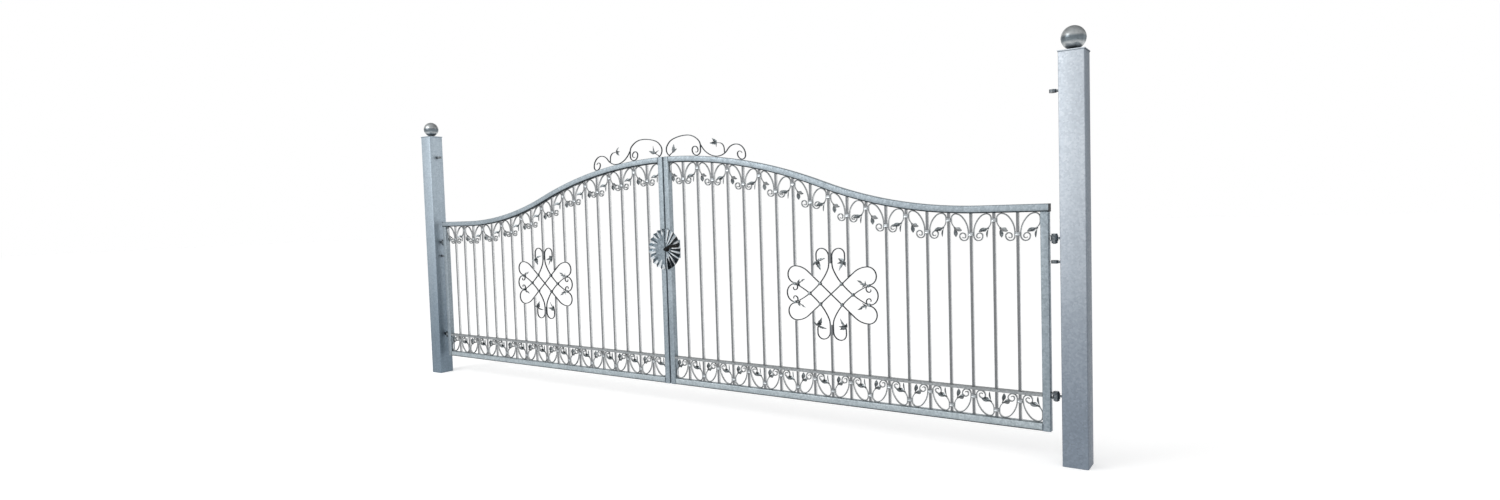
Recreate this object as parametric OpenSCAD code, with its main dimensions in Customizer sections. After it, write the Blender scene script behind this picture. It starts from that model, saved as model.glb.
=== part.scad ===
// Double-leaf driveway gate of galvanised steel: tube frames filled with
// square bars, forged scroll friezes, a knot ornament and a crest on each leaf,
// hung on eye bolts between two square posts with ball tops.
// Origin: centre of the left post's foot. +X along the gate, +Y inward, +Z up.

/* [Posts] */
// Clear width between the two posts
opening = 5000; // [4400:10:5600]
// Side of the square post tube
post_side = 120; // [100:5:150]
// Wall of the post tube
post_wall = 4; // [3:0.5:6]
// Height of the post tube
post_height = 1990; // [1800:10:2300]
// Thickness of the cap plate
cap_t = 5; // [3:1:10]
// How far the cap plate stands past the post on each side
cap_lip = 2; // [0:1:8]
// Diameter of the ball
ball_d = 115; // [90:5:140]
// Wall of the hollow ball
ball_wall = 4; // [3:0.5:6]
// Diameter of the neck that carries the ball
neck_d = 30; // [16:2:40]
// Height of the neck that shows under the ball
neck_h = 5; // [3:1:15]

/* [Hinges] */
// Distance of the hinge axis from the post
axis_out = 37; // [36:1:60]
// Distance of the hinge axis from the leaf
axis_in = 23; // [22:1:30]
// Outer diameter of the eye
eye_d = 34; // [30:1:34]
// Height of the eye along the hinge axis
eye_h = 16; // [14:1:24]
// Diameter of the hinge pin
pin_d = 16; // [12:1:18]
// Radial running clearance between the pin and the eye
pin_clear = 0.05; // [0.02:0.01:0.1]
// Diameter of the hinge pin's head and nut across the corners
pin_head_d = 29; // [24:1:32]
// Height of the hinge pin's head
pin_head_h = 8; // [6:1:12]
// Length of the hinge pin that shows under its nut
pin_end = 3; // [1:1:6]
// Diameter of the eye bolt's shank
shank_d = 12; // [10:1:14]
// Length of the shank inside the post
shank_in = 30; // [20:1:60]
// Width across the flats of the eye bolt's nuts
nut_af = 19; // [17:1:24]
// Height of a nut
nut_h = 10; // [6:1:14]
// Thickness of one hinge lug
lug_t = 6; // [5:1:10]
// Vertical play between the eye and each lug
lug_play = 0.5; // [0.2:0.1:1]
// Height of the lower hinge above the leaf's bottom edge
hinge_low = 180; // [150:5:300]
// Distance of the upper hinge below the leaf's shoulder
hinge_drop = 170; // [100:5:200]
// Distance of the lower spare eye below the upper hinge
spare_step = 115; // [100:5:300]
// Distance of the upper spare eye below the post's top
spare_drop = 175; // [100:5:300]

/* [Leaf frame] */
// Side of the square frame tube
tube = 40; // [36:1:50]
// Wall of the frame tube
tube_wall = 3; // [2:0.5:4]
// Height of the leaf's bottom edge above the post's foot
leaf_lift = 150; // [60:5:200]
// Height of the leaf at its hinge side
shoulder_h = 1125; // [1100:5:1300]
// Rise of the top rail from the shoulder to the crown
crown_rise = 385; // [250:5:450]
// Length of the level part of the top rail at its hinge side
shoulder_run = 340; // [200:10:700]
// Share of the sweep that is bent as the convex crown
crown_share = 0.57; // [0.45:0.01:0.65]
// Gap between the two leaves
centre_gap = 10; // [6:1:20]
// Height of the strip rail
strip_h = 14; // [10:1:20]
// Depth of the strip rail
strip_depth = 36; // [24:1:40]
// How far a rail's end plug reaches into the tube
plug_in = 12; // [8:1:30]
// Thickness of the end plug's lip
plug_lip = 3; // [2:1:5]
// Play of the end plug in its tube, all round
plug_play = 0.2; // [0.1:0.1:0.5]

/* [Bars] */
// Side of a square bar
bar = 14; // [12:1:16]
// Number of bars in a leaf
bar_count = 19; // [17:2:21]

/* [Scrollwork] */
// Thickness of the scroll strip, seen from the front
strip_t = 6; // [5:0.5:8]
// Thickness of the strip in the knots and crests
knot_t = 7; // [5:0.5:9]
// Depth of the scroll strip
scroll_depth = 12; // [8:1:16]
// Length of a collar along its bar
collar_h = 20; // [14:1:24]
// Wall of a collar
collar_wall = 6; // [5:0.5:8]
// How far a collar stands past the scroll strip, front and back
collar_lip = 3; // [1:0.5:5]
// How deep a scroll's stem is let into its collar
stem_sunk = 1.5; // [0.5:0.5:3]
// Depth of the high collars under their rail
collar_high = 36; // [30:1:40]
// Straight stem between arch and volute in the upper frieze
stem_top = 13; // [4:1:30]
// Straight stem between arch and volute in the lower frieze
stem_low = 1.5; // [1:0.5:20]
// Outer radius of a frieze scroll's volute
volute_r = 23; // [18:1:26]
// Gap left between a scroll and the rail that it lies against
seat_gap = 0.3; // [0.1:0.1:0.6]
// Height of the knot ornament's centre above the leaf's bottom edge
knot_z = 640; // [600:2:720]
// Side of the square boss where strips of the knot cross
boss = 15; // [10:1:20]

/* [Lock] */
// Diameter of the lock rosette
rosette_d = 275; // [220:5:320]
// Thickness of the rosette plate
rosette_t = 4; // [3:1:8]
// Number of flutes around the whole rosette
flutes = 20; // [16:4:40]
// Depth of a flute at the rosette's rim
flute_in = 7; // [3:1:12]
// Share of the rosette's diameter that is raised
dome_share = 0.62; // [0.4:0.02:0.8]
// Height of the raised part over the plate
dome_t = 3; // [2:1:6]
// Height of the lock's centre above the leaf's bottom edge
lock_z = 900; // [860:5:980]
// Height of the lock case
case_h = 120; // [100:5:160]
// Width of the lock case
case_w = 48; // [40:1:60]
// Wall of the lock case
case_wall = 3; // [2:0.5:5]
// Diameter of the lever's spindle
spindle_d = 10; // [8:1:14]
// Length of the lever from its spindle
lever_len = 130; // [100:5:150]
// Height of the lever's grip over its spindle
lever_rise = 22; // [10:1:30]
// Length over which the lever rises
lever_run = 34; // [28:1:45]
// Diameter of the lever's grip
lever_d = 16; // [12:1:20]
// Diameter of the lever's hub
hub_d = 22; // [18:1:28]
// Clear space between the lever and the rosette
lever_off = 36; // [30:1:50]
// Height of the nut on the spindle's back end
back_nut_h = 6; // [4:1:10]
// Play between that nut and the stile
back_play = 0.6; // [0.3:0.1:1]

/* [Hidden] */

$fn = 64;
eps = 1;
// How far a chord may lie inside its arc on a bent strip or rail
sag = 0.3;

zinc_pale = "#C3CBD3";
zinc = "#9AA7B0";
zinc_dark = "#7B858C";
black = "#1E1F21";

// Gate's centre line, measured from the left post's centre
centre_x = opening / 2 + post_side / 2;
// Right leaf, measured from the gate's centre line
leaf_in = centre_gap / 2;
axis_x = opening / 2 - axis_out;
leaf_out = axis_x - axis_in;
field_in = leaf_in + tube;
field_out = leaf_out - tube;
bar_gap = (field_out - field_in - bar_count * bar) / (bar_count + 1);
pitch = bar_gap + bar;
function bar_x(n) = field_in + n * pitch - bar / 2;
middle_bar = (bar_count + 1) / 2;

// Top rail: a convex crown arc, a concave sweep and a level shoulder
crown_run = leaf_out - shoulder_run;
sweep_turn = 2 * atan(crown_rise / crown_run);
sweep_sum = crown_run / sin(sweep_turn);
crown_r = crown_share * sweep_sum;
sweep_r = sweep_sum - crown_r;
crown_top = shoulder_h + crown_rise;
// Height of the rail's outline at x, the given depth below its top edge
function rail_z(x, depth) =
  x < (crown_r - depth) * sin(sweep_turn)
    ? crown_top - crown_r + sqrt(pow(crown_r - depth, 2) - x * x)
  : x < crown_run
    ? shoulder_h + sweep_r - sqrt(pow(sweep_r + depth, 2) - pow(crown_run - x, 2))
  : shoulder_h - depth;
function under_rail(x) = rail_z(x, tube);

// Paths of tangent arcs: each step is [radius, turn], or [length, 0] if straight
function arc_at(p, a, r, t) = p + sign(t) * r * [sin(a + t) - sin(a), cos(a) - cos(a + t)];
function step_points(p, a, s) = s[1] == 0
  ? [p + s[0] * [cos(a), sin(a)]]
  : let (n = ceil(abs(s[1]) / 2 / acos(1 - sag / s[0])))
    [for (i = [1:n]) arc_at(p, a, s[0], s[1] * i / n)];
function arc_path(p, a, steps, i = 0) = i == len(steps) ? [] :
  let (pts = step_points(p, a, steps[i]))
  concat(pts, arc_path(pts[len(pts) - 1], a + steps[i][1], steps, i + 1));
function path(p, a, steps) = concat([p], arc_path(p, a, steps));
// The same with its lengths given in bar pitches
function pitch_path(p, a, steps) = path(p, a, [for (s = steps) [s[0] * pitch, s[1]]]);
function reversed(list) = [for (i = [len(list) - 1:-1:0]) list[i]];
function last(list) = list[len(list) - 1];
function without_first(list) = [for (i = [1:len(list) - 1]) list[i]];
function flip(pts, sx, sz) = [for (p = pts) [sx * p[0], sz * p[1]]];
function path_side(pts, half, i) =
  let (a = pts[max(i - 1, 0)], b = pts[min(i + 1, len(pts) - 1)], d = b - a)
  pts[i] + half * [-d[1], d[0]] / norm(d);

// Strip of constant thickness bent along a path
module ribbon(pts, t) {
  end = len(pts) - 1;
  polygon(concat(
    [for (i = [0:end]) path_side(pts, t / 2, i)],
    [for (i = [end:-1:0]) path_side(pts, -t / 2, i)]));
}
// Pointed leaf from p along direction a, each edge an arc in a few chords
leaf_cuts = 5;
function leaf_edge(p, a, bow, open) =
  [for (i = [0:leaf_cuts - 1]) i == 0 ? p : arc_at(p, a + open, bow, -2 * open * i / leaf_cuts)];
module leaf(p, a, length, width) {
  bow = (length * length / 4 + width * width / 4) / width;
  open = asin(length / 2 / bow);
  tip = p + length * [cos(a), sin(a)];
  polygon(concat(leaf_edge(p, a, bow, open), leaf_edge(tip, a + 180, bow, open)));
}
// Sprig at the end p of a strip: each leaf is [turn from direction a, length in pitches]
leaf_slim = 0.42;
sprig_sunk = 0.04;
module sprig(p, a, leaves) {
  root = p - sprig_sunk * pitch * [cos(a), sin(a)];
  for (l = leaves)
    leaf(root, a + l[0], l[1] * pitch, l[1] * pitch * leaf_slim);
}
// Upright sheet work: drawn in X and Z, given its depth along Y
module upright(depth) {
  rotate([90, 0, 0]) linear_extrude(height = depth, center = true) children();
}

// Both sides are drawn as the right one and mirrored about the centre line
module on_side(side) {
  translate([centre_x, 0, 0])
    if (side == "right") children();
    else mirror([1, 0, 0]) children();
}
module on_leaf(side) {
  on_side(side) translate([0, 0, leaf_lift]) children();
}

hinge_high = shoulder_h - hinge_drop;
hinge_heights = [hinge_low, hinge_high];
hung_heights = [for (z = hinge_heights) z + leaf_lift];
spare_heights = [leaf_lift + hinge_high - spare_step, post_height - spare_drop];
shank_hole_d = shank_d + 1;

module post(side) {
  color(zinc_pale) on_side(side) translate([opening / 2, 0, 0]) difference() {
    translate([0, -post_side / 2, 0]) cube([post_side, post_side, post_height]);
    translate([post_wall, post_wall - post_side / 2, -eps])
      cube([post_side - 2 * post_wall, post_side - 2 * post_wall, post_height + 2 * eps]);
    for (z = concat(hung_heights, spare_heights))
      translate([-eps, 0, z]) rotate([0, 90, 0]) cylinder(d = shank_hole_d, h = post_wall + 2 * eps);
  }
}

module post_cap(side) {
  plate = post_side + 2 * cap_lip;
  color(zinc_pale) on_side(side)
    translate([opening / 2 - cap_lip, -plate / 2, post_height]) cube([plate, plate, cap_t]);
}

// Hollow ball on a short neck
module post_ball(side) {
  ball_z = neck_h + sqrt(ball_d * ball_d - neck_d * neck_d) / 2;
  color(zinc) on_side(side)
    translate([opening / 2 + post_side / 2, 0, post_height + cap_t]) difference() {
      union() {
        cylinder(d = neck_d, h = ball_z);
        translate([0, 0, ball_z]) sphere(d = ball_d);
      }
      translate([0, 0, ball_z]) sphere(d = ball_d - 2 * ball_wall);
    }
}

// Eye with an upright bore, on a shank that passes through the post's wall
module eye_bolt() {
  shank_len = axis_out + shank_in;
  difference() {
    union() {
      translate([0, 0, -eye_h / 2]) cylinder(d = eye_d, h = eye_h);
      rotate([0, 90, 0]) cylinder(d = shank_d, h = shank_len);
      translate([axis_out - nut_h, 0, 0]) hex_nut();
      translate([axis_out + post_wall, 0, 0]) hex_nut();
    }
    translate([0, 0, -eye_h / 2 - eps]) cylinder(r = pin_d / 2 + pin_clear, h = eye_h + 2 * eps);
  }
}
module hex_nut() {
  rotate([0, 90, 0]) cylinder(d = nut_af / cos(30), h = nut_h, $fn = 6);
}
module eyes(side, heights) {
  color(zinc) on_side(side)
    for (z = heights) translate([axis_x, 0, z]) eye_bolt();
}

lug_z = eye_h / 2 + lug_play;
lug_hole_d = pin_d + 0.4;

module hinge_lugs(side) {
  color(zinc) on_leaf(side)
    for (z = hinge_heights, s = [-1, 1])
      translate([axis_x, 0, z + s * (lug_z + lug_t / 2) - lug_t / 2]) difference() {
        union() {
          cylinder(d = eye_d, h = lug_t);
          translate([-axis_in, -eye_d / 2, 0]) cube([axis_in, eye_d, lug_t]);
        }
        translate([0, 0, -eps]) cylinder(d = lug_hole_d, h = lug_t + 2 * eps);
      }
}

// Bolt with its head on the upper lug and its nut under the lower one
module hinge_pins(side) {
  half = lug_z + lug_t;
  below = half + nut_h;
  color(zinc_dark) on_leaf(side)
    for (z = hinge_heights) translate([axis_x, 0, z]) union() {
      translate([0, 0, -below - pin_end]) cylinder(d = pin_d, h = below + half + pin_end);
      translate([0, 0, half]) cylinder(d = pin_head_d, h = pin_head_h, $fn = 6);
      translate([0, 0, -below]) cylinder(d = pin_head_d, h = nut_h, $fn = 6);
    }
}

module tube_upright(height) {
  difference() {
    translate([0, -tube / 2, 0]) cube([tube, tube, height]);
    translate([tube_wall, tube_wall - tube / 2, tube_wall])
      cube([tube - 2 * tube_wall, tube - 2 * tube_wall, height - 2 * tube_wall]);
  }
}

module hinge_stile(side) {
  color(zinc) on_leaf(side) translate([field_out, 0, 0]) tube_upright(shoulder_h - tube);
}

module meeting_stile(side) {
  color(zinc) on_leaf(side) difference() {
    translate([leaf_in, 0, 0]) tube_upright(rail_z(leaf_in, 0));
    if (side == "right") translate([leaf_in + tube / 2, 0, lock_z]) rotate([90, 0, 0])
      cylinder(r = spindle_d / 2 + pin_clear, h = tube + 2 * eps, center = true);
  }
}

// Outline of the top rail's crown, sweep and level shoulder, at a depth below its top edge
function rail_edge(depth, over) = path([0, crown_top - depth], 0,
  [[crown_r - depth, -sweep_turn], [sweep_r + depth, sweep_turn], [shoulder_run + over, 0]]);
module rail_run(inset, over) {
  upright(tube - 2 * inset)
    polygon(concat(rail_edge(inset, over), reversed(rail_edge(tube - inset, over))));
}

module top_rail(side) {
  color(zinc) on_leaf(side) difference() {
    rail_run(0, 0);
    rail_run(tube_wall, eps);
    translate([-eps, -tube, shoulder_h]) cube([field_in + eps, 2 * tube, 2 * crown_rise]);
  }
}

// Black insert that closes the open end of the top rail
module rail_plug(side) {
  inner = tube - 2 * tube_wall - 2 * plug_play;
  color(black) on_leaf(side) translate([leaf_out, 0, shoulder_h - tube / 2]) union() {
    translate([-plug_in, -inner / 2, -inner / 2]) cube([plug_in, inner, inner]);
    translate([0, -tube / 2, -tube / 2]) cube([plug_lip, tube, tube]);
  }
}

module bottom_rail(side) {
  run = field_out - field_in;
  color(zinc) on_leaf(side) translate([field_in, 0, tube / 2]) difference() {
    translate([0, -tube / 2, -tube / 2]) cube([run, tube, tube]);
    translate([-eps, tube_wall - tube / 2, tube_wall - tube / 2])
      cube([run + 2 * eps, tube - 2 * tube_wall, tube - 2 * tube_wall]);
  }
}

// Frieze scroll: volute, stem past the low collar, arch against the rail and
// a short tail past the high collar that ends in a sprig.
// Drawn from its low upright at x = 0 towards its high upright.
stem_x = bar / 2 + collar_wall + strip_t / 2 - stem_sunk;
span_bar = pitch - 2 * stem_x;
span_stile = bar_gap + bar / 2 - strip_t / 2 - stem_x;
// The arch is bent to three radii, in shares of its span
rise_r = 1.3;
turn_r = 0.52;
fall_r = 1 - rise_r * (1 - cos(45)) - turn_r * sin(45);
function arch_foot(w) = strip_t / 2 + seat_gap + w * (rise_r * sin(45) + turn_r * (1 - cos(45)));
collar_top = arch_foot(span_stile) + stem_top - collar_h / 2;
collar_low = arch_foot(span_stile) + stem_low - collar_h / 2;
// The lower frieze's volutes lie against the strip rail
strip_z = tube + collar_low + collar_h / 2 + volute_r + strip_t / 2 + seat_gap;

// Flat rail over the lower frieze, punched for the bars
module strip_rail(side) {
  color(zinc) on_leaf(side) difference() {
    translate([field_in, -strip_depth / 2, strip_z])
      cube([field_out - field_in, strip_depth, strip_h]);
    for (n = [1:bar_count])
      translate([bar_x(n) - bar / 2, -bar / 2, strip_z - eps]) cube([bar, bar, strip_h + 2 * eps]);
  }
}

function scroll_volute(low) = path([stem_x, -low - collar_h / 2], -90,
  [[volute_r, 180], [volute_r * 0.7, 180], [volute_r * 0.42, 150]]);
function scroll_arch(w) = path([stem_x, -arch_foot(w)], 90,
  [[rise_r * w, -45], [turn_r * w, -45], [fall_r * w, -90]]);
function scroll_tail(p) = pitch_path(p, -90, [[0.13, 0], [0.34, -40]]);
// Points follow the rail's height: volutes and tails move as they are, the
// arch between them leans with the rail
function on_curve(pts, x0, dir, ref) =
  [for (p = pts) [x0 + dir * p[0], p[1] + under_rail(x0 + dir * (is_undef(ref) ? p[0] : ref))]];
// Leaves of a frieze sprig, turned from the tail's end towards the low upright
frieze_leaves = [[-14, 0.54], [40, 0.38], [-62, 0.28]];
sprig_turn = 23;

module top_scroll(x0, dir, w) {
  arch = scroll_arch(w);
  tail = scroll_tail(last(arch));
  pts = concat(
    on_curve(reversed(scroll_volute(collar_top)), x0, dir, stem_x),
    on_curve(arch, x0, dir),
    on_curve(without_first(tail), x0, dir, last(arch)[0]));
  ribbon(pts, strip_t);
  sprig(last(pts), dir > 0 ? 180 + sprig_turn : -sprig_turn, [for (l = frieze_leaves) [dir * l[0], l[1]]]);
}

module bottom_scroll(x0, dir, w) {
  arch = scroll_arch(w);
  flat = concat(reversed(scroll_volute(collar_low)), arch, without_first(scroll_tail(last(arch))));
  pts = [for (p = flat) [x0 + dir * p[0], tube - p[1]]];
  ribbon(pts, strip_t);
  sprig(last(pts), dir > 0 ? 180 - sprig_turn : sprig_turn, [for (l = frieze_leaves) [-dir * l[0], l[1]]]);
}

// Ring around a bar that clasps the scrolls on both sides
module collar(x, z) {
  side = bar + 2 * collar_wall;
  deep = scroll_depth + 2 * collar_lip;
  translate([x, 0, z]) difference() {
    cube([side, deep, collar_h], center = true);
    cube([bar, bar, collar_h + 2 * eps], center = true);
  }
}

// Odd bars carry the low collars, even bars and both stiles the high ends
module frieze() {
  for (k = [0:bar_count]) {
    $low_x = bar_x(k % 2 == 0 ? k + 1 : k);
    $dir = k % 2 == 0 ? -1 : 1;
    $span = k == 0 || k == bar_count ? span_stile : span_bar;
    children();
  }
}

module top_scrolls(side) {
  color(zinc_dark) on_leaf(side) union() {
    upright(scroll_depth) frieze() top_scroll($low_x, $dir, $span);
    for (n = [1:bar_count])
      collar(bar_x(n), under_rail(bar_x(n)) - (n % 2 == 1 ? collar_top : collar_high));
  }
}

module bottom_scrolls(side) {
  color(zinc_dark) on_leaf(side) union() {
    upright(scroll_depth) frieze() bottom_scroll($low_x, $dir, $span);
    for (n = [1:bar_count])
      collar(bar_x(n), tube + (n % 2 == 1 ? collar_low : collar_high));
  }
}

// Knot ornament, drawn in bar pitches from its centre: two long diagonals with
// big lobes, four stems that end in small lobes on the middle bar, and a
// C-scroll at each side
knot_slope = 40.6;
stem_side = bar / 2 + knot_t / 2;
stem_z = 1.507 * pitch;
lobe_r = [1.1, 0.44, 0.42];
arm_run = 1.683;
junction = [2.043, 0.46] * pitch;
function long_arm() = pitch_path([0, 0], knot_slope,
  [[arm_run, 0], [lobe_r[0], -knot_slope], [lobe_r[1], -90], [lobe_r[2], -90], [0.1, 0]]);
function stem_down() = pitch_path([stem_side, stem_z], -90,
  [[0.766, 25], [2.554, 18], [4.087, 21.5], [0.32, 0]]);
function stem_up() = pitch_path([stem_side, stem_z], 90,
  [[0.34, 0], [0.392, -90], [0.307, -90], [0.2, 0], [0.3, -35]]);
function side_scroll() = pitch_path(junction, 180, [[0.153, 180], [0.094, 120]]);
function side_bow() = path(junction, 0, [[junction[1], -90]]);
// Centres of the bosses: on the diagonals, on the level axis and at the junctions
bosses = [0.778 * pitch * [cos(knot_slope), sin(knot_slope)], [1.19 * pitch, 0], junction];
boss_turns = [knot_slope + 3, 45, 20];

module knot(side) {
  color(zinc_dark) on_leaf(side) translate([bar_x(middle_bar), 0, knot_z]) union() {
    upright(scroll_depth) for (sx = [-1, 1], sz = [-1, 1]) {
      ribbon(flip(long_arm(), sx, sz), knot_t);
      ribbon(flip(concat(reversed(stem_up()), without_first(stem_down())), sx, sz), knot_t);
      ribbon(flip(concat(reversed(side_scroll()), without_first(side_bow())), sx, sz), knot_t);
      scale([sx, sz]) {
        sprig(last(long_arm()), 168, [[0, 0.58], [32, 0.36], [-36, 0.3]]);
        sprig(last(stem_up()), 235, [[0, 0.38], [75, 0.25], [-80, 0.34]]);
      }
    }
    upright(scroll_depth + collar_lip) for (sx = [-1, 1], sz = [-1, 1], i = [0:len(bosses) - 1])
      translate([sx * bosses[i][0], sz * bosses[i][1]]) rotate(sx * sz * boss_turns[i])
        square(boss, center = true);
  }
}
// Height of the ornament's edge over its centre, on a diagonal at x from the
// middle bar and on top of a lobe
function arm_top(x) = x * tan(knot_slope) + knot_t / 2 / cos(knot_slope);
lobe_top = pitch * (arm_run * sin(knot_slope) + lobe_r[0] * (1 - cos(knot_slope))) + knot_t / 2 + seat_gap;
function knot_top(k, x) = k == 0 ? stem_z : k == 1 ? arm_top(x) : lobe_top;

// Bars stop where the knot ornament begins
module bars(side) {
  color(zinc_dark) on_leaf(side) upright(bar)
    for (n = [1:bar_count]) {
      x = bar_x(n);
      off = abs(n - middle_bar);
      ends = [for (s = [-1, 1]) under_rail(x + s * bar / 2) - seat_gap];
      if (off > 2) bar_piece(x, [tube, tube], ends);
      else {
        stop = [for (s = [-1, 1]) knot_top(off, abs(x + s * bar / 2 - bar_x(middle_bar)))];
        bar_piece(x, [tube, tube], [for (h = stop) knot_z - h]);
        bar_piece(x, [for (h = stop) knot_z + h], ends);
      }
    }
}
module bar_piece(x, low, high) {
  polygon([[x - bar / 2, low[0]], [x + bar / 2, low[1]], [x + bar / 2, high[1]], [x - bar / 2, high[0]]]);
}

// Crest, drawn in bar pitches: a large C-scroll and an S-scroll that lie on the
// crown, with a leaf bud in the C and a sprig on the S
crest_seat = seat_gap + knot_t / 2;
crest_lean = 70;
c_start = [field_in + knot_t / 2, seat_gap + knot_t / 2 * sin(crest_lean)];
curl_r = 0.285;
hump_r = [0.98, 0.78];
hump_turn = 55;
dip_r = 1.13;
tail_r = 0.255;
hump_z = crest_seat + (hump_r[0] + hump_r[1]) * pitch * (1 - cos(hump_turn));
function crest_over() = pitch_path(c_start, 90 + crest_lean,
  [[0.378, -crest_lean - 30], [0.844, -40], [3.036, -20], [1.128, -40], [0.405, -50]]);
s_start = [last(crest_over())[0] + knot_t / 2, crest_seat + dip_r * pitch * (1 - cos(60))];
// The C comes down to the crown again and curls up inside
function crest_c() =
  let (over = crest_over(), drop = (last(over)[1] - crest_seat) / pitch - curl_r)
  concat(over, without_first(pitch_path(last(over), -90,
    [[drop, 0], [curl_r, -180], [0.2, -180], [0.12, -120]])));
function crest_s() = pitch_path(s_start, -60,
  [[dip_r, 60], [hump_r[0], hump_turn], [hump_r[1], -hump_turn],
   [(hump_z - crest_seat) / pitch - tail_r, -90], [tail_r, -180], [0.153, -150]]);
function crest_bud() = pitch_path(c_start + [-0.04, 0.035] * pitch, 32, [[0.38, 0]]);
function crest_twig() = pitch_path([4.17, 0.22] * pitch, 95, [[0.28, 0], [0.28, 85], [0.24, 0]]);
function on_crown(pts) = [for (p = pts) [p[0], p[1] + rail_z(p[0], 0)]];

module crest(side) {
  color(zinc_dark) on_leaf(side) upright(scroll_depth) {
    for (strip = [crest_c(), crest_s(), crest_bud(), crest_twig()])
      ribbon(on_crown(strip), knot_t);
    sprig(last(on_crown(crest_bud())), 65, [[10, 0.44], [-37, 0.4], [64, 0.28]]);
    sprig(last(on_crown(crest_twig())), 160, [[-28, 0.38], [22, 0.4], [75, 0.28]]);
  }
}

// Half of the fluted lock rosette on the front of the meeting stile
module rosette(side) {
  rim = rosette_d / 2;
  front = tube / 2;
  color(zinc) on_leaf(side) difference() {
    union() {
      translate([0, -front - rosette_t / 2, lock_z]) upright(rosette_t) intersection() {
        polygon([for (i = [0:4 * flutes - 1])
          let (a = 90 * i / flutes, dip = (1 - cos(90 * i)) / 2) (rim - flute_in * dip) * [cos(a), sin(a)]]);
        half_plane(rim);
      }
      translate([0, -front - rosette_t - dome_t / 2, lock_z]) upright(dome_t) intersection() {
        circle(d = rosette_d * dome_share);
        half_plane(rim);
      }
    }
    if (side == "right") translate([leaf_in + tube / 2, -front, lock_z]) rotate([90, 0, 0])
      cylinder(d = spindle_d + 2, h = 4 * (rosette_t + dome_t), center = true);
  }
}
module half_plane(rim) {
  translate([leaf_in, -rim]) square([rim, 2 * rim]);
}

// Lock case welded to the meeting stile, behind the rosette
module lock_case() {
  color(zinc) on_leaf("right") translate([field_in, 0, lock_z]) difference() {
    translate([0, -tube / 2, -case_h / 2]) cube([case_w, tube, case_h]);
    translate([case_wall, case_wall - tube / 2, case_wall - case_h / 2])
      cube([case_w - 2 * case_wall, tube - 2 * case_wall, case_h - 2 * case_wall]);
  }
}

// Lever on the front, on a spindle through the meeting stile that ends in a nut
module lever_handle() {
  reach = tube / 2 + rosette_t + dome_t + lever_off + lever_d / 2;
  back = tube / 2 + back_play + back_nut_h;
  slope = atan2(lever_rise, lever_run);
  color(black) on_leaf("right") translate([leaf_in + tube / 2, 0, lock_z]) union() {
    translate([0, back, 0]) rotate([90, 0, 0]) cylinder(d = spindle_d, h = back + reach);
    translate([0, back, 0]) rotate([90, 0, 0]) cylinder(d = hub_d, h = back_nut_h);
    translate([0, -reach, 0]) {
      rotate([90, 0, 0]) cylinder(d = hub_d, h = lever_d + 2, center = true);
      rotate([0, 90 - slope, 0]) cylinder(d = lever_d, h = lever_run / cos(slope));
      translate([lever_run, 0, lever_rise]) {
        sphere(d = lever_d + 2);
        rotate([0, 90, 0]) cylinder(d = lever_d, h = lever_len - lever_run - lever_d / 2);
      }
      translate([lever_len - lever_d / 2, 0, lever_rise]) sphere(d = lever_d);
    }
  }
}

post("left");  // left_post
post("right");  // right_post
post_cap("left");  // left_post_cap
post_cap("right");  // right_post_cap
post_ball("left");  // left_post_ball
post_ball("right");  // right_post_ball
eyes("left", hung_heights);  // left_hinge_eyes
eyes("right", hung_heights);  // right_hinge_eyes
eyes("left", spare_heights);  // left_spare_eyes
eyes("right", spare_heights);  // right_spare_eyes
hinge_stile("left");  // left_hinge_stile
meeting_stile("left");  // left_meeting_stile
top_rail("left");  // left_top_rail
bottom_rail("left");  // left_bottom_rail
strip_rail("left");  // left_strip_rail
bars("left");  // left_bars
top_scrolls("left");  // left_top_scrolls
bottom_scrolls("left");  // left_bottom_scrolls
knot("left");  // left_knot
crest("left");  // left_crest
hinge_lugs("left");  // left_hinge_lugs
hinge_pins("left");  // left_hinge_pins
rosette("left");  // left_rosette
rail_plug("left");  // left_rail_plug
hinge_stile("right");  // right_hinge_stile
meeting_stile("right");  // right_meeting_stile
top_rail("right");  // right_top_rail
bottom_rail("right");  // right_bottom_rail
strip_rail("right");  // right_strip_rail
bars("right");  // right_bars
top_scrolls("right");  // right_top_scrolls
bottom_scrolls("right");  // right_bottom_scrolls
knot("right");  // right_knot
crest("right");  // right_crest
hinge_lugs("right");  // right_hinge_lugs
hinge_pins("right");  // right_hinge_pins
rosette("right");  // right_rosette
rail_plug("right");  // right_rail_plug
lock_case();
lever_handle();
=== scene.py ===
import math

import bmesh
import bpy
from mathutils import Matrix, Vector


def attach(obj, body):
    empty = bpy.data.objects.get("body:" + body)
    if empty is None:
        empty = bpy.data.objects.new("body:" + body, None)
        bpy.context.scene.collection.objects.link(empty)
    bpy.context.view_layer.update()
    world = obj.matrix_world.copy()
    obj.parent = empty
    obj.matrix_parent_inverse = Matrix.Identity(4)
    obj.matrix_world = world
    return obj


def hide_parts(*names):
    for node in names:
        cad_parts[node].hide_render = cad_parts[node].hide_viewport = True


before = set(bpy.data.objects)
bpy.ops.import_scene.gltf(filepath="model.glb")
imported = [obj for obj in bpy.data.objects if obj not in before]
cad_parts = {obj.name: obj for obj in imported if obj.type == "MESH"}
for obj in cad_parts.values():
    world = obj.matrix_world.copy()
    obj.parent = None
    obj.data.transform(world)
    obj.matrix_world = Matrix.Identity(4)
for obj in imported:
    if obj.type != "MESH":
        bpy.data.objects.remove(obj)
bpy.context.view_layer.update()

# Sizes of the gate in millimetres, as in the part's source. X runs from the
# gate's centre line, Z from the leaf's bottom edge unless a place says other.
OPENING, POST, POST_H, CAP_T = 5000, 120, 1990, 5
BALL_D, NECK_D, NECK_H = 115, 30, 5
AXIS_OUT, AXIS_IN = 37, 23
TUBE, LIFT, SHOULDER, RISE = 40, 150, 1125, 385
SHOULDER_RUN, CROWN_SHARE, CENTRE_GAP = 340, 0.57, 10
BAR, BARS = 14, 19
STRIP_T, KNOT_T, STRIP_DEEP = 6, 7, 12
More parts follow.
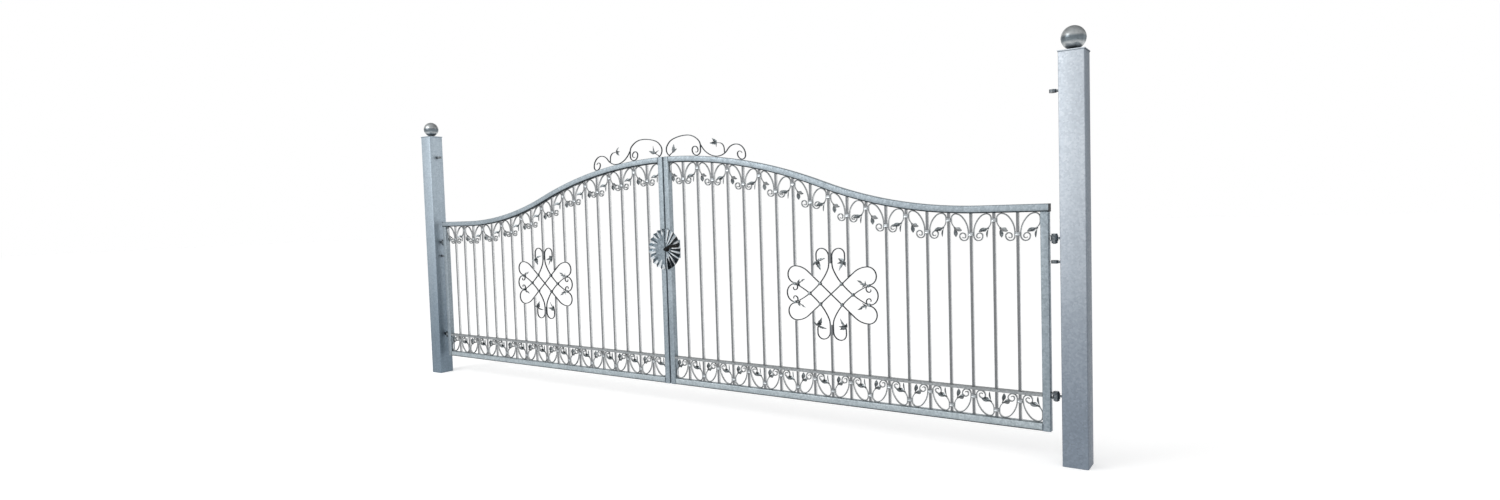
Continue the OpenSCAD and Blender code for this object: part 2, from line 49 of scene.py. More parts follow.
COLLAR_H, COLLAR_WALL, COLLAR_LIP, STEM_SUNK = 20, 6, 3, 1.5
COLLAR_HIGH, STEM_TOP, STEM_LOW, VOLUTE_R, SEAT = 36, 13, 1.5, 23, 0.3
KNOT_Z, BOSS = 640, 15
ROSETTE_D, FLUTES, FLUTE_IN, LOCK_Z = 275, 20, 7, 900
LEVER_OUT, LEVER_LEN, LEVER_RISE, LEVER_RISE_RUN = 70, 130, 22, 45

# From the middle of a post to the middle of the gate
CENTRE = OPENING / 2 + POST / 2
LEAF_IN = CENTRE_GAP / 2
AXIS_X = OPENING / 2 - AXIS_OUT
LEAF_OUT = AXIS_X - AXIS_IN
FIELD_IN = LEAF_IN + TUBE
FIELD_OUT = LEAF_OUT - TUBE
BAR_GAP = (FIELD_OUT - FIELD_IN - BARS * BAR) / (BARS + 1)
PITCH = BAR_GAP + BAR
MIDDLE = (BARS + 1) // 2
SIDES = {"left": -1, "right": 1}


def bar_x(n):
    return FIELD_IN + n * PITCH - BAR / 2


# Top rail: a convex crown, a concave sweep and a level shoulder
CROWN_RUN = LEAF_OUT - SHOULDER_RUN
TURN = 2 * math.degrees(math.atan(RISE / CROWN_RUN))
SWEEP_SUM = CROWN_RUN / math.sin(math.radians(TURN))
CROWN_R = CROWN_SHARE * SWEEP_SUM
SWEEP_R = SWEEP_SUM - CROWN_R
CROWN_TOP = SHOULDER + RISE


def rail_z(x, depth=0):
    """Height of the top rail's outline at x, the given depth below its top edge."""
    if x < (CROWN_R - depth) * math.sin(math.radians(TURN)):
        return CROWN_TOP - CROWN_R + math.sqrt((CROWN_R - depth) ** 2 - x * x)
    if x < CROWN_RUN:
        return SHOULDER + SWEEP_R - math.sqrt((SWEEP_R + depth) ** 2 - (CROWN_RUN - x) ** 2)
    return SHOULDER - depth


# A bent path's longest straight step, and how far its chords may lie off its arcs
STRAIGHT_STEP, FINE_SAG, RAIL_SAG, LEVER_SAG = 40, 0.1, 0.15, 0.3


def bend(start, heading, steps, sag=FINE_SAG):
    """Points of a bent bar: each step is (radius, turn in degrees), or (length, 0) where it is straight."""
    pts = [start]
    for size, turn in steps:
        x, z = pts[-1]
        a = math.radians(heading)
        if turn == 0:
            n = max(1, round(size / STRAIGHT_STEP))
            pts += [(x + size * i / n * math.cos(a), z + size * i / n * math.sin(a)) for i in range(1, n + 1)]
        else:
            n = math.ceil(abs(turn) / 2 / math.degrees(math.acos(1 - sag / size)))
            way = size if turn > 0 else -size
            for i in range(1, n + 1):
                b = math.radians(heading + turn * i / n)
                pts.append((x + way * (math.sin(b) - math.sin(a)), z + way * (math.cos(a) - math.cos(b))))
            heading += turn
    return pts


def bend_pitch(start, heading, steps):
    """The same, with the sizes in bar pitches."""
    return bend(start, heading, [(size * PITCH, turn) for size, turn in steps])


def flip(pts, sx, sz):
    return [(sx * x, sz * z) for x, z in pts]


def rounded(wide, deep, r, cuts=3):
    """Outline of a rectangle with rounded corners, around its centre."""
    out = []
    for cx, cy, a0 in ((1, 1, 0), (-1, 1, 90), (-1, -1, 180), (1, -1, 270)):
        for i in range(cuts + 1):
            a = math.radians(a0 + 90 * i / cuts)
            out.append((cx * (wide / 2 - r) + r * math.cos(a), cy * (deep / 2 - r) + r * math.sin(a)))
    return out


def round_bar(r, count=12):
    turns = [2 * math.pi * i / count for i in range(count)]
    return [(r * math.cos(a), r * math.sin(a)) for a in turns]


# Eased ends and rounded corners of tubes, in millimetres
EASE, POST_ROUND, STILE_ROUND, RAIL_ROUND = 0.8, 7, 5, 8
# Share of its depth that a strip keeps where it is drawn down to nothing
DEPTH_KEPT = 0.4
# Drawn ends of strips: shares of the width at the start and the finish, and the part of the run for each
FRIEZE_DRAWN, ARM_DRAWN, BOW_DRAWN = (0.6, 0.65, 0.12), (0.7, 0.7, 0.05), (0.6, 0.6, 0.1)
STEM_DRAWN, CREST_DRAWN = (0.65, 0.8, 0.1), (0.9, 0.5, 0.14)
KNOT_TWIG_DRAWN, CREST_TWIG_DRAWN = (0.9, 0.6, 0.3), (0.9, 0.7, 0.3)
# A collar's eased ends and corners, and its groove: half width at the edge and the floor, and depth
COLLAR_EASE, COLLAR_ROUND, GROOVE_EDGE, GROOVE_FLOOR, GROOVE_DEEP = 1.6, 2.5, 2.4, 0.8, 1.3
# Half width of a leaf from its root to its tip
LOBED = (0.14, 0.5, 0.86, 1.0, 0.66, 0.86, 0.72, 0.4, 0.4, 0.2, 0.05)
STALKED = (0.12, 0.14, 0.2, 0.44, 0.72, 0.92, 1.0, 0.96, 0.8, 0.5, 0.12)
# A leaf's half width and curl to its length, its fold to its half width, and its sheet in millimetres
LEAF_WIDE, LEAF_CURL, LEAF_FOLD, LEAF_T = 0.24, 0.14, 0.4, 1.8
# How far a sprig is sunk in its stem, in pitches, and its bud: way along and radius
SPRIG_SUNK, BUD = 0.04, ((-3, 1.5), (0, 4.2), (4, 5.2), (8, 4.2), (12, 1.5))
# How far a stud's points and edges stand out from the middle of the strips, and the half width of a point
STUD_POINT, STUD_EDGE, STUD_TIP = 11, 7.6, 1.0
# Radius of weld runs, the length of a ripple, and the shares of the radius at the ends and between ripples
WELD_R, BAR_WELD_R, CAP_WELD_R, RIPPLE, WELD_END, WELD_DIP = 2.6, 2.2, 3.2, 3.2, 0.35, 0.8
SIXTHS = (0, 1.05, 2.09, 3.14, 4.19, 5.24)


class Work:
    """Gathers the metal of one piece, on the left or the right side of the gate."""

    def __init__(self, side, lift=LIFT):
        self.side, self.lift = SIDES[side], lift
        self.verts, self.faces = [], []

    def put(self, x, y, z):
        self.verts.append(((CENTRE + self.side * x) / 1000, y / 1000, (self.lift + z) / 1000))

    def loft(self, rings):
        """Skins a run of rings of points and closes both ends."""
        n, base = len(rings[0]), len(self.verts)
        for ring in rings:
            for p in ring:
                self.put(*p)
        for i in range(len(rings) - 1):
            for j in range(n):
                a, b = base + i * n + j, base + i * n + (j + 1) % n
                self.faces.append((a, b, b + n, a + n))
        end = base + (len(rings) - 1) * n
        self.faces.append(tuple(range(base + n - 1, base - 1, -1)))
        self.faces.append(tuple(range(end, end + n)))

    def strip(self, pts, section, start=1.0, finish=1.0, run=0.16):
        """Sweeps a section, given across the strip and along Y, over a path in X and Z.
        The ends are drawn down to the start and finish shares over a part of the run."""
        rings, last = [], len(pts) - 1
        for i, (x, z) in enumerate(pts):
            (ax, az), (bx, bz) = pts[max(i - 1, 0)], pts[min(i + 1, last)]
            size = math.hypot(bx - ax, bz - az)
            nx, nz = -(bz - az) / size, (bx - ax) / size
            t = i / last
            k = 1.0
            if t < run:
                k = start + (1 - start) * t / run
            if t > 1 - run:
                k = finish + (1 - finish) * (1 - t) / run
            deep = DEPTH_KEPT + (1 - DEPTH_KEPT) * k
            rings.append([(x + nx * u * k, v * deep, z + nz * u * k) for u, v in section])
        self.loft(rings)

    def upright(self, x, height, wide, r):
        """Upright square tube with rounded corners and eased ends."""
        rings = []
        for z, inset in ((0, EASE), (EASE, 0), (height - EASE, 0), (height, EASE)):
            rings.append([(x + u, v, z) for u, v in rounded(wide - 2 * inset, wide - 2 * inset, r)])
        self.loft(rings)

    def turned(self, x, z, profile, count=24):
        """Turned piece with its axis along Y: the profile is (y, radius)."""
        self.loft([[(x + r * u, y, z + r * v) for u, v in round_bar(1, count)] for y, r in profile])

    def collar(self, x, z):
        """Forged collar with eased ends and a groove round its middle."""
        half = COLLAR_H / 2
        upper = [(GROOVE_FLOOR, GROOVE_DEEP), (GROOVE_EDGE, 0), (half - COLLAR_EASE, 0), (half, COLLAR_EASE)]
        rings = []
        for dz, inset in [(-dz, inset) for dz, inset in upper[::-1]] + upper:
            wide = BAR + 2 * COLLAR_WALL - 2 * inset
            deep = STRIP_DEEP + 2 * COLLAR_LIP - 2 * inset
            rings.append([(x + u, v, z + dz) for u, v in rounded(wide, deep, COLLAR_ROUND, 2)])
        self.loft(rings)

    def leaf(self, root, heading, lean, roll, length, edge):
        """Forged leaf: a sheet folded along its midrib, leaning out of the gate's face, its tip curled back."""
        a, e, r = (math.radians(v) for v in (heading, lean, roll))
        along = Vector((math.cos(a) * math.cos(e), -math.sin(e), math.sin(a) * math.cos(e)))
        level = Vector((-math.sin(a), 0, math.cos(a)))
        face = along.cross(level)
        across = math.cos(r) * level + math.sin(r) * face
        face = math.cos(r) * face - math.sin(r) * level
        rings = []
        for i, share in enumerate(edge):
            s = i / (len(edge) - 1)
            half = LEAF_WIDE * length * share
            spine = Vector((root[0], 0, root[1])) + length * s * along - LEAF_CURL * length * s * s * face
            skin = [(t, LEAF_FOLD * (abs(t) - 0.5) * half) for t in (-1, -0.5, 0, 0.5, 1)]
            rings.append([spine + t * half * across + (fold - LEAF_T / 2) * face for t, fold in skin]
                         + [spine + t * half * across + (fold + LEAF_T / 2) * face for t, fold in skin[::-1]])
        self.loft(rings)

    def sprig(self, root, heading, leaves, hand=1, edge=LOBED):
        """Sprig of leaves on a bud: each leaf is (turn from the heading, lean, roll, length in pitches)."""
        a = math.radians(heading)
        root = (root[0] - SPRIG_SUNK * PITCH * math.cos(a), root[1] - SPRIG_SUNK * PITCH * math.sin(a))
        for turn, lean, roll, share in leaves:
            self.leaf(root, heading + hand * turn, lean, hand * roll, share * PITCH, edge)
        bud = [(root[0] + k * math.cos(a), root[1] + k * math.sin(a), w) for k, w in BUD]
        self.loft([[(x - u * w * math.sin(a), v * w, z + u * w * math.cos(a)) for u, v in round_bar(1, 8)]
                   for x, z, w in bud])

    def stud(self, x, z, turn):
        """Four-sided stud where two strips cross."""
        a = math.radians(turn)
        rings = []
        for y, half in ((-STUD_POINT, STUD_TIP), (-STUD_EDGE, BOSS / 2), (STUD_EDGE, BOSS / 2),
                        (STUD_POINT, STUD_TIP)):
            rings.append([(x + half * (u * math.cos(a) - v * math.sin(a)), y,
                           z + half * (u * math.sin(a) + v * math.cos(a)))
                          for u, v in ((1, 1), (-1, 1), (-1, -1), (1, -1))])
        self.loft(rings)

    def weld(self, start, end, r=WELD_R):
        """Run of weld metal with its ripples, between two points."""
        p, q = Vector(start), Vector(end)
        way = (q - p).normalized()
        u = way.orthogonal().normalized()
        v = way.cross(u)
        n = max(4, round((q - p).length / RIPPLE))
        rings = []
        for i in range(n + 1):
            k = r * (WELD_END if i in (0, n) else 1.0 if i % 2 else WELD_DIP)
            c = p.lerp(q, i / n)
            rings.append([c + k * (math.cos(b) * u + math.sin(b) * v) for b in SIXTHS])
        self.loft(rings)

    def piece(self, name, body, material, slot, stands_for=(), soft=40):
        """Makes the piece, shaded smooth over edges up to the soft angle, and sets it on its body."""
        mesh = bpy.data.meshes.new(name)
        mesh.from_pydata(self.verts, [], self.faces)
        skin = bmesh.new()
        skin.from_mesh(mesh)
        bmesh.ops.recalc_face_normals(skin, faces=skin.faces)
        skin.to_mesh(mesh)
        skin.free()
        mesh.shade_smooth()
        mesh.set_sharp_from_angle(angle=math.radians(soft))
        mesh.materials.append(material)
        made = bpy.data.objects.new(name, mesh)
        bpy.context.scene.collection.objects.link(made)
        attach(made, body)
        if stands_for:
            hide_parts(*stands_for)
        return made


# Materials


def linear(code):
    """sRGB hex to the linear colour that a shader takes."""
    parts = [int(code[i:i + 2], 16) / 255 for i in (1, 3, 5)]
    return [c / 12.92 if c <= 0.04045 else ((c + 0.055) / 1.055) ** 2.4 for c in parts] + [1.0]


def node(tree, kind, values=(), links=(), **settings):
    """Adds a node with its settings, the values of its sockets and the outputs that feed them."""
    made = tree.nodes.new(kind)
    for key, value in settings.items():
        setattr(made, key, value)
    for key, value in dict(values).items():
        made.inputs[key].default_value = value
    for key, output in dict(links).items():
        tree.links.new(output, made.inputs[key])
    return made


def new_material(name):
    material = bpy.data.materials.new(name)
    material.use_nodes = True
    material.node_tree.nodes.clear()
    return material, material.node_tree


# Marks in the zinc, in millimetres: cloudy patches across, drain runs wide and long, dross grains apart and high
CLOUD, RUN_WIDE, RUN_LONG, DROSS, DROSS_HIGH = 220, 18, 700, 3, 0.4
# Painted shade: the dark grey that faces looking down are darkened towards
PAINTED_DOWNWARD_SHADE = "#4A4F53"
# How far down a face looks, as its normal's Z, where it begins to count as an underside and take painted shade, and
# where it is one
UNDER, UNDER_TUBE, UNDER_BALL = (-0.25, -0.8), (-0.02, -0.4), (-0.66, -0.9)


def hot_dip_zinc(name, greys, spangle, rough=(0.42, 0.6), under=UNDER, foot=None, painted_shade_side=None, seam=None, faces=None):
    """Hot-dip galvanised steel: a bath of zinc freezes into flat crystals about a centimetre across, each a
    slightly different grey, with faint runs where the metal drained. The greys are dull, mid and bright, the
    spangle is a crystal's size in millimetres, and the last four arguments are tints that some pieces have, all
    painted light and shade: painted shade towards the foot, painted shade on the side turned to +X, a painted
    reflection as a dark band round a ball's middle, and painted shade on the two faces that look out of the gate.
    Faces that look down always take painted shade."""
    dull, mid, bright = greys
    material, tree = new_material(name)
    place = node(tree, "ShaderNodeTexCoord").outputs["Object"]
    crystal = node(tree, "ShaderNodeTexVoronoi", {"Scale": 1000 / spangle, "Randomness": 1.0}, {"Vector": place})
    tone = node(tree, "ShaderNodeSeparateColor", links={"Color": crystal.outputs["Color"]})
    cloud = node(tree, "ShaderNodeTexNoise", {"Scale": 1000 / CLOUD, "Detail": 4.0, "Roughness": 0.55},
                 {"Vector": place})
    blend = node(tree, "ShaderNodeMix", {0: 0.55}, {2: tone.outputs["Red"], 3: cloud.outputs["Fac"]},
                 data_type="FLOAT")
    low = node(tree, "ShaderNodeMapRange", {"From Min": 0.2, "From Max": 0.55}, {"Value": blend.outputs[0]})
    high = node(tree, "ShaderNodeMapRange", {"From Min": 0.5, "From Max": 0.85}, {"Value": blend.outputs[0]})
    grey = node(tree, "ShaderNodeMix", {6: linear(dull), 7: linear(mid)}, {0: low.outputs[0]}, data_type="RGBA")
    grey = node(tree, "ShaderNodeMix", {7: linear(bright)}, {0: high.outputs[0], 6: grey.outputs[2]},
                data_type="RGBA")
    drawn = node(tree, "ShaderNodeMapping", {"Scale": (1000 / RUN_WIDE, 1000 / RUN_WIDE, 1000 / RUN_LONG)},
                 {"Vector": place})
    runs = node(tree, "ShaderNodeTexNoise", {"Scale": 1.0, "Detail": 2.0}, {"Vector": drawn.outputs[0]})
    runs = node(tree, "ShaderNodeMapRange", {"From Min": 0.45, "From Max": 0.75, "To Max": 0.12},
                {"Value": runs.outputs["Fac"]})
    normal = node(tree, "ShaderNodeNewGeometry").outputs["Normal"]
    facing = node(tree, "ShaderNodeSeparateXYZ", links={"Vector": normal}).outputs
    height = node(tree, "ShaderNodeSeparateXYZ", links={"Vector": place}).outputs["Z"]
    # Painted shade: faces that look down are darkened towards a dark grey
    painted_shade_under = node(tree, "ShaderNodeMapRange", {"From Min": under[0], "From Max": under[1]}, {"Value": facing["Z"]})
    tints = [(runs, dull), (painted_shade_under, PAINTED_DOWNWARD_SHADE)]
    if foot:
        # Painted shade: the metal is darkened towards its foot
        painted_foot_shade = node(tree, "ShaderNodeMapRange", {"From Min": 1.75, "From Max": 0.1}, {"Value": height},
                        interpolation_type="SMOOTHSTEP")
        tints.append((painted_foot_shade, foot))
    if painted_shade_side:
        # Painted shade: faces turned to +X are darkened, most of all high up
        turned = node(tree, "ShaderNodeMapRange", {"From Min": 0.5, "From Max": 0.9}, {"Value": facing["X"]})
        high_up = node(tree, "ShaderNodeMapRange", {"From Min": 0.0, "From Max": 0.9, "To Min": 0.3},
                       {"Value": height})
        shade = node(tree, "ShaderNodeMath", links={0: turned.outputs[0], 1: high_up.outputs[0]},
                     operation="MULTIPLY")
        tints.append((shade, painted_shade_side))
    if seam:
        # Painted reflection: a band round a ball's middle, about its seam, is darkened
        rising = node(tree, "ShaderNodeMapRange", {"From Min": -0.5, "From Max": -0.3}, {"Value": facing["Z"]})
        falling = node(tree, "ShaderNodeMapRange", {"From Min": 0.2, "From Max": 0.05}, {"Value": facing["Z"]})
        painted_reflection_band = node(tree, "ShaderNodeMath", links={0: rising.outputs[0], 1: falling.outputs[0]},
                      operation="MULTIPLY")
        tints.append((painted_reflection_band, seam))
    if faces:
        # Painted light and shade: the two faces that look out of the gate are darkened, and the sides stay bright
        outward = node(tree, "ShaderNodeMath", links={0: facing["Y"]}, operation="ABSOLUTE")
        painted_face_shade = node(tree, "ShaderNodeMapRange", {"From Min": 0.5, "From Max": 0.8}, {"Value": outward.outputs[0]})
        tints.append((painted_face_shade, faces))
    for where, tint in tints:
        grey = node(tree, "ShaderNodeMix", {7: linear(tint)}, {0: where.outputs[0], 6: grey.outputs[2]},
                    data_type="RGBA", blend_type="MULTIPLY")
    matt = node(tree, "ShaderNodeMapRange", {"To Min": rough[0], "To Max": rough[1]},
                {"Value": tone.outputs["Green"]})
    grain = node(tree, "ShaderNodeTexNoise", {"Scale": 1000 / DROSS, "Detail": 3.0}, {"Vector": place})
    bump = node(tree, "ShaderNodeBump", {"Strength": 0.25, "Distance": DROSS_HIGH / 1000},
                {"Height": grain.outputs["Fac"]})
    shader = node(tree, "ShaderNodeBsdfPrincipled", {"Metallic": 1.0},
                  {"Base Color": grey.outputs[2], "Roughness": matt.outputs[0], "Normal": bump.outputs[0]})
    node(tree, "ShaderNodeOutputMaterial", links={"Surface": shader.outputs[0]})
    return material


# Rubbed patches across and pebbles high in a black coat, in millimetres
RUBBED, PEBBLE_HIGH = 40, 0.3


def black_coat(name, colour, shine, pebbles, rough, gloss=0.5):
    """Black moulded plastic or powder coat: even black with a fine pebbled skin that scatters the gloss. The
    pebbles' size is in millimetres."""
    material, tree = new_material(name)
    place = node(tree, "ShaderNodeTexCoord").outputs["Object"]
    skin = node(tree, "ShaderNodeTexNoise", {"Scale": 1000 / pebbles, "Detail": 2.0}, {"Vector": place})
    rub = node(tree, "ShaderNodeTexNoise", {"Scale": 1000 / RUBBED, "Detail": 3.0}, {"Vector": place})
    tint = node(tree, "ShaderNodeMix", {6: linear(colour), 7: linear(shine)}, {0: rub.outputs["Fac"]},
                data_type="RGBA")
    matt = node(tree, "ShaderNodeMapRange", {"To Min": rough[0], "To Max": rough[1]}, {"Value": rub.outputs["Fac"]})
    bump = node(tree, "ShaderNodeBump", {"Strength": 0.3, "Distance": PEBBLE_HIGH / 1000},
                {"Height": skin.outputs["Fac"]})
    shader = node(tree, "ShaderNodeBsdfPrincipled", {"IOR": 1.5, "Specular IOR Level": gloss},
                  {"Base Color": tint.outputs[2], "Roughness": matt.outputs[0], "Normal": bump.outputs[0]})
    node(tree, "ShaderNodeOutputMaterial", links={"Surface": shader.outputs[0]})
    return material


# Post tube: pale and dull. The left post has a darker, bluer copy of the zinc, which is painted shade, and the
# right one has painted shade on its side turned to +X
post_zinc = {
    "left": hot_dip_zinc("painted_shade_blue_post_tube_zinc", ("#ACB9C3", "#B7C4CE", "#C3CFD8"), 9, foot="#ACB3B9"),
    "right": hot_dip_zinc("painted_side_shade_pale_post_tube_zinc", ("#BAC1C9", "#C4CCD4", "#D0D6DD"), 9, foot="#A9AFB6",
                          painted_shade_side="#BCC1C6"),
}
# Frame tube: a bluish mid grey, in painted shade as soon as a face looks down
frame_zinc = hot_dip_zinc("galvanised_frame_tube", ("#959FA5", "#A3AEB5", "#B4BEC5"), 9, under=UNDER_TUBE,
                          foot="#E2E4E6")
# The bottom rail's tube: a lighter copy of the frame tube's zinc, which is painted light
bottom_rail_painted_light = hot_dip_zinc("painted_light_rail_tube_zinc", ("#9CA6AB", "#ABB5BA", "#BAC4C9"), 9, under=UNDER_TUBE)
# Punched strip: a neutral grey
strip_zinc = hot_dip_zinc("galvanised_punched_strip", ("#868A8C", "#969A9C", "#A8ACAE"), 7)
# Bars and forged strip: sides painted bright, so that they look slim, and the faces in painted shade
bar_zinc = hot_dip_zinc("painted_light_square_bar_zinc", ("#D8DADB", "#E6E7E8", "#F2F3F3"), 8, foot="#F8F8F8",
                        faces="#8C8E90")
scroll_zinc = hot_dip_zinc("painted_light_forged_strip_zinc", ("#CDD0D1", "#DDDFE0", "#ECEDEE"), 7, (0.38, 0.55),
                           faces="#9B9E9F")
# Bent bar of the knots and crests: painted shade, dark all round, so that it shows as a thin dark line against the
# light
bent_bar_zinc_painted_dark = hot_dip_zinc("painted_shade_bent_bar_zinc", ("#383D40", "#484D50", "#606568"), 7, (0.34, 0.5), foot="#F0F0F0")
# Hammered leaves and collars: half bright, with light and dark blows side by side on the leaves. The collars are
# smoother, and their lighter grey is a painted highlight
leaf_zinc = hot_dip_zinc("galvanised_forged_leaf", ("#5B6164", "#7D8487", "#ABB1B4"), 7, (0.3, 0.45))
forged_collar_painted_highlight = hot_dip_zinc("painted_highlight_forged_collar_zinc", ("#A3A8AB", "#B8BDC0", "#CDD1D4"), 7, (0.25, 0.38),
                           foot="#EEEEEE")
# Spun ball: smooth and half bright, with larger crystals, painted shade on its underside and a painted reflection
# as a dark band round its middle
ball_zinc = hot_dip_zinc("galvanised_spun_ball", ("#A2A7A9", "#B0B4B5", "#BEC2C3"), 12, (0.3, 0.42), UNDER_BALL,
                         seam="#A2ABB2")
# Plated hinges: a darker, smoother grey than dipped steel
bolt_zinc = hot_dip_zinc("zinc_plated_forging", ("#5C6266", "#767C80", "#969CA0"), 6, (0.28, 0.42), foot="#E0E2E4")
# Pressed sheet of the rosette: glossy, with painted highlights and painted shade on its crimps, the painted shade
# darkest on the right half
rosette_zinc = hot_dip_zinc("galvanised_pressed_sheet", ("#78838A", "#909CA4", "#AAB5BC"), 9, (0.2, 0.32),
                            foot="#E8EAEC")
crimp_painted_highlight = hot_dip_zinc("painted_highlight_crimp_zinc", ("#B4BABE", "#CCD2D6", "#E2E6E9"), 9, (0.16, 0.28))
crimp_painted_shade = {
    "left": hot_dip_zinc("painted_shade_crimp_zinc_left", ("#39434A", "#4C575E", "#636E75"), 9, (0.3, 0.45)),
    "right": hot_dip_zinc("painted_shade_crimp_zinc_right", ("#0C1013", "#15191D", "#282E33"), 9, (0.3, 0.45)),
}
# Weld metal under the zinc: small crystals, a little darker than the tube
weld_zinc = hot_dip_zinc("galvanised_weld_metal", ("#6A757D", "#838F97", "#99A4AB"), 5, (0.4, 0.55),
                         foot="#D8DADC")
# Plug and lever: matt black, the lever's coat the deeper
plug_black = black_coat("black_moulded_polyethylene", "#141517", "#242628", 1.2, (0.45, 0.6))
lever_black = black_coat("black_powder_coated_zinc_casting", "#060707", "#0E0F10", 0.8, (0.45, 0.6), 0.15)

# Posts with their balls

# The weld under the cap: in from the post's edges and down from its end
CAP_WELD_IN, CAP_WELD_DROP = 2, 1.5
# The weld at a ball's neck: out from the neck and up from the cap
NECK_WELD = ((3, 0), (1.2, 1.6), (0, 3))
BALL_STEPS, BALL_TOP_ANGLE, SEAM_HIGH, SEAM_WIDE = 40, 88.5, 0.7, 1.6


def post_tube(side):
    work = Work(side, lift=0)
    work.upright(CENTRE, POST_H, POST, POST_ROUND)
    work.piece(side + "_post_tube", "posts", post_zinc[side], "post_zinc", [side + "_post"])
    work = Work(side, lift=0)
    reach, z = POST / 2 - CAP_WELD_IN, POST_H - CAP_WELD_DROP
    corners = [(CENTRE + u * reach, v * reach, z) for u, v in ((-1, -1), (1, -1), (1, 1), (-1, 1))]
    for start, end in zip(corners, corners[1:] + corners[:1]):
        work.weld(start, end, CAP_WELD_R)
    work.piece(side + "_cap_weld", "posts", weld_zinc, "post_zinc")


def spun_ball(side):
    """Two spun half balls joined at a raised seam, on a turned neck with a weld at its foot."""
    work = Work(side, lift=0)
    foot, r = POST_H + CAP_T, BALL_D / 2
    mid = foot + NECK_H + math.sqrt(BALL_D ** 2 - NECK_D ** 2) / 2
    profile = [(NECK_D / 2 + out, foot + up) for out, up in NECK_WELD]
    low = math.degrees(math.asin(NECK_D / BALL_D)) - 90
    for i in range(BALL_STEPS + 1):
        a = math.radians(low + (BALL_TOP_ANGLE - low) * i / BALL_STEPS)
        seam = SEAM_HIGH * math.exp(-((r * a) / SEAM_WIDE) ** 2)
        profile.append(((r + seam) * math.cos(a), mid + (r + seam) * math.sin(a)))
    work.loft([[(CENTRE + p * u, p * v, z) for u, v in round_bar(1, 48)] for p, z in profile])
    work.piece(side + "_spun_ball", "posts", ball_zinc, "ball_zinc", [side + "_post_ball"])


# Leaf frames

TUBE_SECTION = rounded(TUBE, TUBE, RAIL_ROUND, 4)
# A frame's weld stops short of the tube's corners, and a bar's runs this far to each side
WELD_SHORT, BAR_WELD = 3, 6


def leaf_frame(side, body):
    for name, x, top in (("hinge_stile", FIELD_OUT + TUBE / 2, SHOULDER - TUBE),
                         ("meeting_stile", LEAF_IN + TUBE / 2, rail_z(LEAF_IN))):
        stile = Work(side)
        stile.upright(x, top, TUBE, STILE_ROUND)
        stile.piece(f"{side}_{name}_tube", body, frame_zinc, "frame_zinc", [f"{side}_{name}"])
    start = math.degrees(math.asin(FIELD_IN / (CROWN_R - TUBE / 2)))
    arched = bend((FIELD_IN, rail_z(FIELD_IN, TUBE / 2)), -start,
                  [(CROWN_R - TUBE / 2, start - TURN), (SWEEP_R + TUBE / 2, TURN), (SHOULDER_RUN, 0)], RAIL_SAG)
    level = [(FIELD_IN, TUBE / 2), (FIELD_OUT, TUBE / 2)]
    for name, pts, material in (("top_rail", arched, frame_zinc), ("bottom_rail", level, bottom_rail_painted_light)):
        rail = Work(side)
        rail.strip(pts, TUBE_SECTION)
        rail.piece(f"{side}_{name}_tube", body, material, "frame_zinc", [f"{side}_{name}"])


def leaf_welds(side, body):
    """Weld runs at the frame's corners and at both ends of each bar."""
    work = Work(side)
    shoulder = SHOULDER - TUBE
    for y in (-TUBE / 2, TUBE / 2):
        for x in (FIELD_IN, FIELD_OUT):
            work.weld((x, y, WELD_SHORT), (x, y, TUBE - WELD_SHORT))
        work.weld((FIELD_IN, y, rail_z(FIELD_IN) - WELD_SHORT), (FIELD_IN, y, rail_z(FIELD_IN, TUBE) + WELD_SHORT))
        work.weld((FIELD_OUT + WELD_SHORT, y, shoulder), (LEAF_OUT - WELD_SHORT, y, shoulder))
    for n in range(1, BARS + 1):
        x0, x1 = bar_x(n) - BAR_WELD, bar_x(n) + BAR_WELD
        for y in (-BAR / 2, BAR / 2):
            work.weld((x0, y, TUBE), (x1, y, TUBE), BAR_WELD_R)
            work.weld((x0, y, rail_z(x0, TUBE)), (x1, y, rail_z(x1, TUBE)), BAR_WELD_R)
    work.piece(side + "_weld_runs", body, weld_zinc, "frame_zinc")


# Friezes of forged scrolls

STRIP = rounded(STRIP_T, STRIP_DEEP, 1.6, 2)
STEM_X = BAR / 2 + COLLAR_WALL + STRIP_T / 2 - STEM_SUNK
SPAN_BAR = PITCH - 2 * STEM_X
SPAN_STILE = BAR_GAP + BAR / 2 - STRIP_T / 2 - STEM_X
# Radii of an arch to its span: up from the stem, over the top and down
RISE_R, TURN_R = 1.3, 0.52
HALF = math.sqrt(0.5)
FALL_R = 1 - RISE_R * (1 - HALF) - TURN_R * HALF
# A volute's radii to its first one, with their turns
VOLUTE = ((1, 180), (0.7, 180), (0.42, 150))
# Three leaves to a scroll: one leans out to the front, one lies along the face and one hangs edge on to it
LEAF_DIP = 23
FRONT_LEAF = [(-6, 31, 40, 0.44)]
FACE_LEAVES = [(3, 0, -40, 0.36), (50, 3, 55, 0.42)]


def arch_foot(w):
    return STRIP_T / 2 + SEAT + w * (RISE_R * HALF + TURN_R * (1 - HALF))


COLLAR_TOP = arch_foot(SPAN_STILE) + STEM_TOP - COLLAR_H / 2
COLLAR_LOW = arch_foot(SPAN_STILE) + STEM_LOW - COLLAR_H / 2


def scroll(w, low):
    """Volute, arch and tail of one scroll, from its low upright at x = 0 towards its high one."""
    volute = bend((STEM_X, -low - COLLAR_H / 2), -90, [(VOLUTE_R * share, turn) for share, turn in VOLUTE])
    arch = bend((STEM_X, -arch_foot(w)), 90, [(RISE_R * w, -45), (TURN_R * w, -45), (FALL_R * w, -90)])
    tail = bend_pitch(arch[-1], -90, [(0.13, 0), (0.34, -40), (0.11, 0)])
    return volute[::-1], arch, tail[1:]


